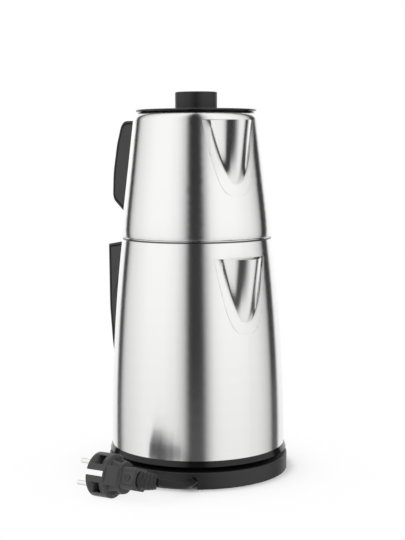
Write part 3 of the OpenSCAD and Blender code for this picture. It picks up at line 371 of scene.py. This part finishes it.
def crown_point(v, low, levels, turns):
    """Move a point of the beak or of its border from the CAD's section to the crowned one.

    Across, the border's half width goes from edge to full and the beak's from crease to wide."""
    s = v.co.z - low
    t = (s - BORDER_DROP) / BEAK_H
    edge, full, r = level_at(levels, v.co.z)
    y = abs(v.co.y)
    inside = v.co.xy.length < r - INNER_NEAR
    if t < BEAK_START:
        new = y * full / edge
        x = v.co.x + math.sqrt(r * r - new * new) - math.sqrt(r * r - y * y)
    else:
        border = BORDER_W * math.sqrt(s / BORDER_H)
        crease = min(border * BORDER_SHARE, max(CREASE_LOW, BEAK_W * t ** WIDTH_POWER))
        wide = min(full * BORDER_SHARE, max(ARCH_LOW, ARCH_W * t ** ARCH_POWER))
        if y < crease:
            new = y * wide / crease
            old = cad_section(t, r, crease)(y)
        else:
            new = wide + (y - crease) * (full - wide) / (edge - crease)
            old = math.sqrt(r * r - y * y)
        behind = 0 if v.co.x > old - SKIN_NEAR else v.co.x - old
        x = arched_section(t, r, wide, turns)(new) + behind
    out = math.hypot(x, new)
    lift = out + FLANGE_T
    if inside and new > edge - LAP_NEAR:
        lift = r + LAP_LIFT
    v.co.x = x * lift / out
    v.co.y = math.copysign(new * lift / out, v.co.y)


def crown_beak(form, turns):
    """Give the beak its crowned flanks, and its border a rounder outline, as a thin flange on the wall."""
    turn = math.atan2(sum(v.co.y for v in form.verts), sum(v.co.x for v in form.verts))
    turn_form(form, -turn)
    low = max(v.co.z for v in form.verts) - BORDER_H
    for s in FLANGE_ROWS:
        slice_at(form, (0, 0, low + s), (0, 0, 1))
    levels = border_levels(form, low)
    for i in range(-BEAK_SLICES, BEAK_SLICES + 1):
        across = math.copysign(BEAK_W * smooth_step(abs(i) / BEAK_SLICES), i)
        slice_at(form, (0, across, 0), (0, 1, 0))
    for v in form.verts:
        crown_point(v, low, levels, turns)
    turn_form(form, turn)


# ---------- lid, shoulder and seam ----------

# Height above which the teapot's shoulder is stretched upwards, and how much
SHOULDER_Z, SHOULDER_STRETCH = 0.322, 1.31
# Height of the lid's top, and the share of its thickness that the edge keeps
LID_TOP, LID_THIN = 0.3328, 0.64
# The step under the lid: how far in from the edge it is cut, where the edge begins, and its radius at the top
LID_INSET, EDGE_R, STEP_R = 0.0023, 0.0495, 0.0504
# Radius beyond which the kettle's bead is dark, as the shadow in the seam
BEAD_R = 0.0677
# Tolerance for the height of the lid's underside, and for how straight down its faces look
FLAT_NEAR, FACES_DOWN = 0.00001, -0.99


def raise_shoulder(form):
    """Let the teapot's shoulder reach up to the thin lid."""
    for v in form.verts:
        if v.co.z > SHOULDER_Z:
            v.co.z = SHOULDER_Z + SHOULDER_STRETCH * (v.co.z - SHOULDER_Z)


def thin_lid(form):
    """Thin the lid's edge to about two thirds, and leave a step under it that enters the filling hole."""
    low = min(v.co.z for v in form.verts) + FLAT_NEAR
    under = [f for f in form.faces if f.normal.z < FACES_DOWN and f.calc_center_median().z < low]
    bmesh.ops.inset_region(form, faces=under, thickness=LID_INSET)
    for v in form.verts:
        r = v.co.xy.length
        if r > EDGE_R:
            if v.co.z < low:
                v.co.x, v.co.y = v.co.x * STEP_R / r, v.co.y * STEP_R / r
            v.co.z = LID_TOP - LID_THIN * (LID_TOP - v.co.z)


# Piece, CAD node, body, material slot, sharp angle and shape
FORMED = [
    ("kettle_beak", "kettle_spout", "kettle", "steel_bright", 38, partial(crown_beak, turns=KETTLE_TURNS)),
    ("teapot_beak", "teapot_spout", "teapot", "steel_bright", 38, partial(crown_beak, turns=TEAPOT_TURNS)),
    ("kettle_grip", "kettle_handle", "kettle", "handle_grey", 40),
    ("kettle_grip_strip", "kettle_handle_cover", "kettle", "handle_black", 40),
    ("teapot_grip", "teapot_handle", "teapot", "handle_grey", 40),
    ("teapot_grip_strip", "teapot_handle_cover", "teapot", "handle_black", 40),
    ("kettle_bead", "kettle_rim", "kettle", "steel", 40),
    ("teapot_wall", "teapot_shell", "teapot", "steel", 40, raise_shoulder),
    ("lid_plate", "lid_disc", "lid", "black_gloss", 35, thin_lid),
]
formed = [formed_piece(*row) for row in FORMED]

# ---------- materials ----------

# Noise stays within these limits for most of a surface
NOISE_LOW, NOISE_HIGH = 0.3, 0.7
# Scratches to a metre, in X, Y and Z: fine and coarse brushing round a pot, and marks on small metal parts
FINE_BRUSH, COARSE_BRUSH, METAL_MARKS = (16, 16, 5200), (7, 7, 1500), (400, 400, 2400)
# Clouds to a metre, in steel and in plastic, and how much they change the steel's roughness
STEEL_CLOUD, PLASTIC_CLOUD, CLOUD_ROUGH = 14, 30, 0.02
# Shares of fine and coarse brushing, how much darker a scratch is, and how strongly it shows
BRUSH_MIX, BRUSH_DARK, BRUSH_BUMP = (0.7, 0.3), 0.03, 0.035
# Darkest and lightest tint of clouds in plastic, darkest of marks on metal, and how strongly marks show
PLASTIC_TINTS, MARK_DARK, MARK_BUMP = (0.85, 1.12), 0.9, 0.06
# How far the roughness goes down and up with brushing, clouds and marks
BRUSH_ROUGH, PLASTIC_ROUGH, MARK_ROUGH = (-0.012, 0.015), (-0.03, 0.04), (-0.04, 0.06)
# Depth of brushing, of the grain in plastic, and of marks on small metal parts, in metres
BRUSH_DEPTH, GRAIN_DEPTH, MARK_DEPTH = 0.00003, 0.00015, 0.0001


class Nodes:
    """The node tree of a material or of the world."""

    def __init__(self, owner):
        owner.use_nodes = True
        self.tree = owner.node_tree
        self.tree.nodes.clear()

    def add(self, kind, inputs=None, **settings):
        """New node. What it takes in is a plain value, or another node's output, which is linked to it."""
        node = self.tree.nodes.new(kind)
        for key, value in settings.items():
            setattr(node, key, value)
        for key, value in (inputs or {}).items():
            if isinstance(value, bpy.types.NodeSocket):
                self.link(value, node.inputs[key])
            else:
                node.inputs[key].default_value = value
        return node

    def link(self, output, target):
        """Link an output to another node's input."""
        self.tree.links.new(output, target)

    def calc(self, operation, a, b):
        """Result of the operation on two numbers or outputs."""
        return self.add("ShaderNodeMath", {0: a, 1: b}, operation=operation).outputs[0]

    def remap(self, value, from_low, from_high, to_low, to_high):
        """The value moved from one range to another, and held at its ends."""
        ranges = {"From Min": from_low, "From Max": from_high, "To Min": to_low, "To Max": to_high}
        return self.add("ShaderNodeMapRange", {"Value": value, **ranges}).outputs[0]

    def ramp(self, place, stops):
        """Grey value by place, from a list of places between 0 and 1 with their values."""
        node = self.add("ShaderNodeValToRGB", {0: place})
        elements = node.color_ramp.elements
        while len(elements) < len(stops):
            elements.new(0.5)
        for element, (position, value) in zip(elements, stops):
            element.position = position
            element.color = (value, value, value, 1)
        return node.outputs[0]

    def mix(self, share, first, second):
        """Mixed shader: the share of the second in the first."""
        return self.add("ShaderNodeMixShader", {0: share, 1: first, 2: second}).outputs[0]


class Finish(Nodes):
    """A material around one Principled shader, whose constant values sit on its own sockets."""

    def __init__(self, name, **values):
        self.material = bpy.data.materials.new(name)
        super().__init__(self.material)
        self.surface = self.add("ShaderNodeBsdfPrincipled")
        self.add("ShaderNodeOutputMaterial", {"Surface": self.surface.outputs[0]})
        for key, value in values.items():
            self.surface.inputs[key.replace("_", " ")].default_value = value
        self.place = self.add("ShaderNodeTexCoord").outputs["Object"]

    def stretched(self, scale):
        """The place on the surface, scaled by X, Y and Z."""
        return self.add("ShaderNodeMapping", {"Vector": self.place, "Scale": scale}).outputs[0]

    def noise(self, vector, scale=1.0, detail=3, rough=0.5):
        """Noise by place, mostly between NOISE_LOW and NOISE_HIGH."""
        sizes = {"Scale": scale, "Detail": detail, "Roughness": rough}
        return self.add("ShaderNodeTexNoise", {"Vector": vector, **sizes}).outputs["Fac"]

    def between(self, noise, low=0, high=1):
        """Noise spread over the range from low to high."""
        return self.remap(noise, NOISE_LOW, NOISE_HIGH, low, high)

    def colour(self, share, first, second):
        """Surface colour that goes from the first to the second with the share."""
        colours = {"A": (*first, 1), "B": (*second, 1)}
        node = self.add("ShaderNodeMix", {"Factor": share, **colours}, data_type="RGBA")
        self.link(node.outputs[2], self.surface.inputs["Base Color"])

    def rough(self, value):
        """Roughness by place."""
        self.link(value, self.surface.inputs["Roughness"])

    def bump(self, height, strength, depth):
        """Fine relief by place."""
        node = self.add("ShaderNodeBump", {"Height": height, "Strength": strength, "Distance": depth})
        self.link(node.outputs[0], self.surface.inputs["Normal"])


def brushed_steel(name, tint, rough, grain=1.0):
    """Steel brushed round the pot: fine level scratches, and highlights drawn out up and down."""
    s = Finish(name, Metallic=1.0, Anisotropic=0.85, Anisotropic_Rotation=0.25)
    around = s.add("ShaderNodeTangent", direction_type="RADIAL", axis="Z")
    s.link(around.outputs[0], s.surface.inputs["Tangent"])
    fine = s.noise(s.stretched(FINE_BRUSH), detail=4, rough=0.65)
    coarse = s.noise(s.stretched(COARSE_BRUSH), rough=0.6)
    cloud = s.noise(s.place, STEEL_CLOUD, detail=2)
    brushing = s.calc("ADD", s.calc("MULTIPLY", fine, BRUSH_MIX[0]), s.calc("MULTIPLY", coarse, BRUSH_MIX[1]))
    uneven = s.calc("MULTIPLY", s.calc("SUBTRACT", cloud, 0.5), CLOUD_ROUGH)
    s.colour(s.between(brushing), [c * (1 - BRUSH_DARK * grain) for c in tint], tint)
    s.rough(s.calc("ADD", s.between(brushing, rough + BRUSH_ROUGH[0], rough + BRUSH_ROUGH[1]), uneven))
    s.bump(brushing, BRUSH_BUMP * grain, BRUSH_DEPTH)
    return s.material


def plastic(name, tint, rough, grain=900, height=0.12, specular=0.5):
    """Moulded plastic: a fine grain, slight cloudiness in colour and in shine."""
    s = Finish(name, Specular_IOR_Level=specular)
    fine = s.noise(s.place, grain, rough=0.6)
    cloud = s.noise(s.place, PLASTIC_CLOUD)
    dark, light = PLASTIC_TINTS
    s.colour(s.between(cloud), [c * dark for c in tint], [c * light for c in tint])
    s.rough(s.between(cloud, rough + PLASTIC_ROUGH[0], rough + PLASTIC_ROUGH[1]))
    s.bump(fine, height, GRAIN_DEPTH)
    return s.material


def plain_metal(name, tint, rough):
    """Small turned or pressed metal part with faint scratches."""
    s = Finish(name, Metallic=1.0)
    marks = s.noise(s.stretched(METAL_MARKS), rough=0.6)
    s.colour(s.between(marks), [c * MARK_DARK for c in tint], tint)
    s.rough(s.between(marks, rough + MARK_ROUGH[0], rough + MARK_ROUGH[1]))
    s.bump(marks, MARK_BUMP, MARK_DEPTH)
    return s.material


def grey(level):
    """Colour without hue."""
    return (level, level, level)


MATERIALS = {
    "steel": brushed_steel("steel_brushed", (0.85, 0.85, 0.845), 0.21),
    "steel_bright": brushed_steel("steel_stamped", (0.84, 0.84, 0.835), 0.22, 0.6),
    # painted shade: a dark copy of the steel for the bead's outer face, standing for the shadow in the seam's
    # gap
    "bead": brushed_steel("steel_bead_painted_shade", grey(0.13), 0.3, 0.6),
    "aluminium": plain_metal("aluminium_cast", (0.62, 0.63, 0.64), 0.45),
    "black_matte": plastic("plastic_black_satin", grey(0.011), 0.42),
    "black_gloss": plastic("plastic_black_gloss", grey(0.007), 0.10, grain=500, height=0.03, specular=0.32),
    "handle_grey": plastic("plastic_handle", grey(0.024), 0.5, grain=1400, height=0.2),
    "handle_black": plastic("plastic_handle_strip", grey(0.012), 0.38),
    "switch_red": plastic("plastic_switch", (0.30, 0.02, 0.015), 0.35),
    "lens": plastic("lens_amber", (0.75, 0.18, 0.04), 0.15, height=0.0),
    # painted light and shade: the head and the boot are one moulded plastic; the head's tint is a little
    # lighter for the light falling on it from above, and the boot's much darker for the shade on it and in
    # its slits
    "plug": plastic("plug_moulded", (0.042, 0.042, 0.044), 0.45, grain=1200, height=0.15),
    "boot": plastic("plug_boot_painted_shade", (0.014, 0.014, 0.015), 0.5, grain=1200, height=0.15),
    "cord": plastic("cord_sheath", grey(0.014), 0.55, grain=700, height=0.1, specular=0.25),
    "rubber": plastic("rubber_feet", grey(0.03), 0.7, grain=1500, height=0.2),
    "seal": plastic("silicone_seal", (0.60, 0.60, 0.57), 0.55, grain=600, height=0.08),
    "contact": plain_metal("contact_brass", (0.72, 0.50, 0.20), 0.25),
    "nickel": plain_metal("plug_nickel", (0.90, 0.895, 0.88), 0.22),
    "fastener": plain_metal("screw_zinc", (0.50, 0.50, 0.51), 0.35),
}


def dress(piece, material):
    """Give the piece this material and no other."""
    piece.data.materials.clear()
    piece.data.materials.append(MATERIALS[material])


def shade_seam(bead):
    """Paint shade on the outer face of the kettle's bead: dark steel that stands for the shadow in the seam's
    gap, which shows as the line of the seam.
    """
    bead.data.materials.append(MATERIALS["bead"])
    for face in bead.data.polygons:
        if face.center.xy.length > BEAD_R:
            face.material_index = 1


for part in frame["record"]["subparts"]:
    node = frame["nodes"].get(part["node"])
    if node is not None:
        dress(node, part["material_slot"])
dress(cord, "cord")
dress(boot, "boot")
for piece, row in zip(plug + formed, PLUG + FORMED):
    dress(piece, row[3])
shade_seam(bpy.data.objects["kettle_bead"])

# ---------- stage and light ----------

# Radius of the floor in metres, and the points round it
FLOOR_R, FLOOR_SIDES = 0.62, 96
FLOOR_PAINT = (0.97, 0.97, 0.97, 1)
# Share of the floor that reflections see through
FLOOR_CLEAR = 0.93
# Share of plain white light in the floor, by the distance from the middle in metres: none under the base
FLOOR_GLOW = [(0, 0), (0.087, 0), (0.092, 0.6), (0.11, 0.82), (0.14, 0.93), (0.19, 1), (1, 1)]

# How light the studio is that the metal reflects, by the turn in degrees to the right of the camera's side
STUDIO = [
    (-180, 1), (-141, 1), (-136.5, 0.02), (-127, 0.02), (-122, 0.5), (-116, 0.72), (-109, 0.8), (-91, 0.92),
    (-76, 1), (-46, 1), (-30, 0.9), (-19.5, 0.62), (-11.5, 0.01), (6.5, 0.01), (13.5, 0.5), (22, 0.88),
    (34, 1), (60, 1), (75, 0.94), (89, 0.88), (101, 0.74), (108, 0.62), (114, 0.42), (117, 0.02),
    (131.5, 0.02), (136.5, 0.9), (142, 1), (180, 1),
]
# Its strength: dim where a reflected direction points down by the first height, bright from the second up
FALL_LOW, FALL_HIGH = -0.25, 0.03
STUDIO_DIM, STUDIO_BRIGHT = 0.93, 1.12
WHITE = (1, 1, 1, 1)


def make_floor():
    """White floor that keeps a soft shadow near the part and ends in plain white.

    Reflections mostly see the studio through it, as a photographer's cards stand on the table."""
    mesh = bpy.data.meshes.new("floor")
    turns = [math.tau * i / FLOOR_SIDES for i in range(FLOOR_SIDES)]
    rim = [(FLOOR_R * math.cos(a), FLOOR_R * math.sin(a), 0) for a in turns]
    mesh.from_pydata(rim, [], [range(FLOOR_SIDES)])
    material = bpy.data.materials.new("floor_white")
    s = Nodes(material)
    place = s.add("ShaderNodeTexCoord").outputs["Object"]
    away = s.add("ShaderNodeVectorMath", {0: place}, operation="LENGTH").outputs["Value"]
    paint = s.add("ShaderNodeBsdfDiffuse", {"Color": FLOOR_PAINT}).outputs[0]
    glow = s.add("ShaderNodeEmission", {"Color": WHITE, "Strength": 1}).outputs[0]
    surface = s.mix(s.ramp(away, FLOOR_GLOW), paint, glow)
    mirrored = s.calc("MULTIPLY", s.add("ShaderNodeLightPath").outputs["Is Glossy Ray"], FLOOR_CLEAR)
    clear = s.add("ShaderNodeBsdfTransparent").outputs[0]
    s.add("ShaderNodeOutputMaterial", {"Surface": s.mix(mirrored, surface, clear)})
    mesh.materials.append(material)
    add_piece("floor", mesh)


def make_world():
    """White studio. In reflections it has a dark opening behind the camera and dark cards at the back."""
    world = bpy.data.worlds.new("studio")
    scene.world = world
    s = Nodes(world)
    x, y, z = s.add("ShaderNodeSeparateXYZ", {0: s.add("ShaderNodeTexCoord").outputs["Generated"]}).outputs
    cos, sin = math.cos(CAM_AZIMUTH), math.sin(CAM_AZIMUTH)
    toward = s.calc("ADD", s.calc("MULTIPLY", x, cos), s.calc("MULTIPLY", y, sin))
    right = s.calc("SUBTRACT", s.calc("MULTIPLY", y, cos), s.calc("MULTIPLY", x, sin))
    turn = s.calc("ADD", s.calc("DIVIDE", s.calc("ARCTAN2", right, toward), math.tau), 0.5)
    cards = s.ramp(turn, [((degrees + 180) / 360, value) for degrees, value in STUDIO])
    strength = s.remap(z, FALL_LOW, FALL_HIGH, STUDIO_DIM, STUDIO_BRIGHT)
    mirror = s.add("ShaderNodeBackground", {"Color": cards, "Strength": strength}).outputs[0]
    plain = s.add("ShaderNodeBackground", {"Color": WHITE, "Strength": 1}).outputs[0]
    mirrored = s.add("ShaderNodeLightPath").outputs["Is Glossy Ray"]
    s.add("ShaderNodeOutputWorld", {"Surface": s.mix(mirrored, plain, mirror)})


make_floor()
make_world()
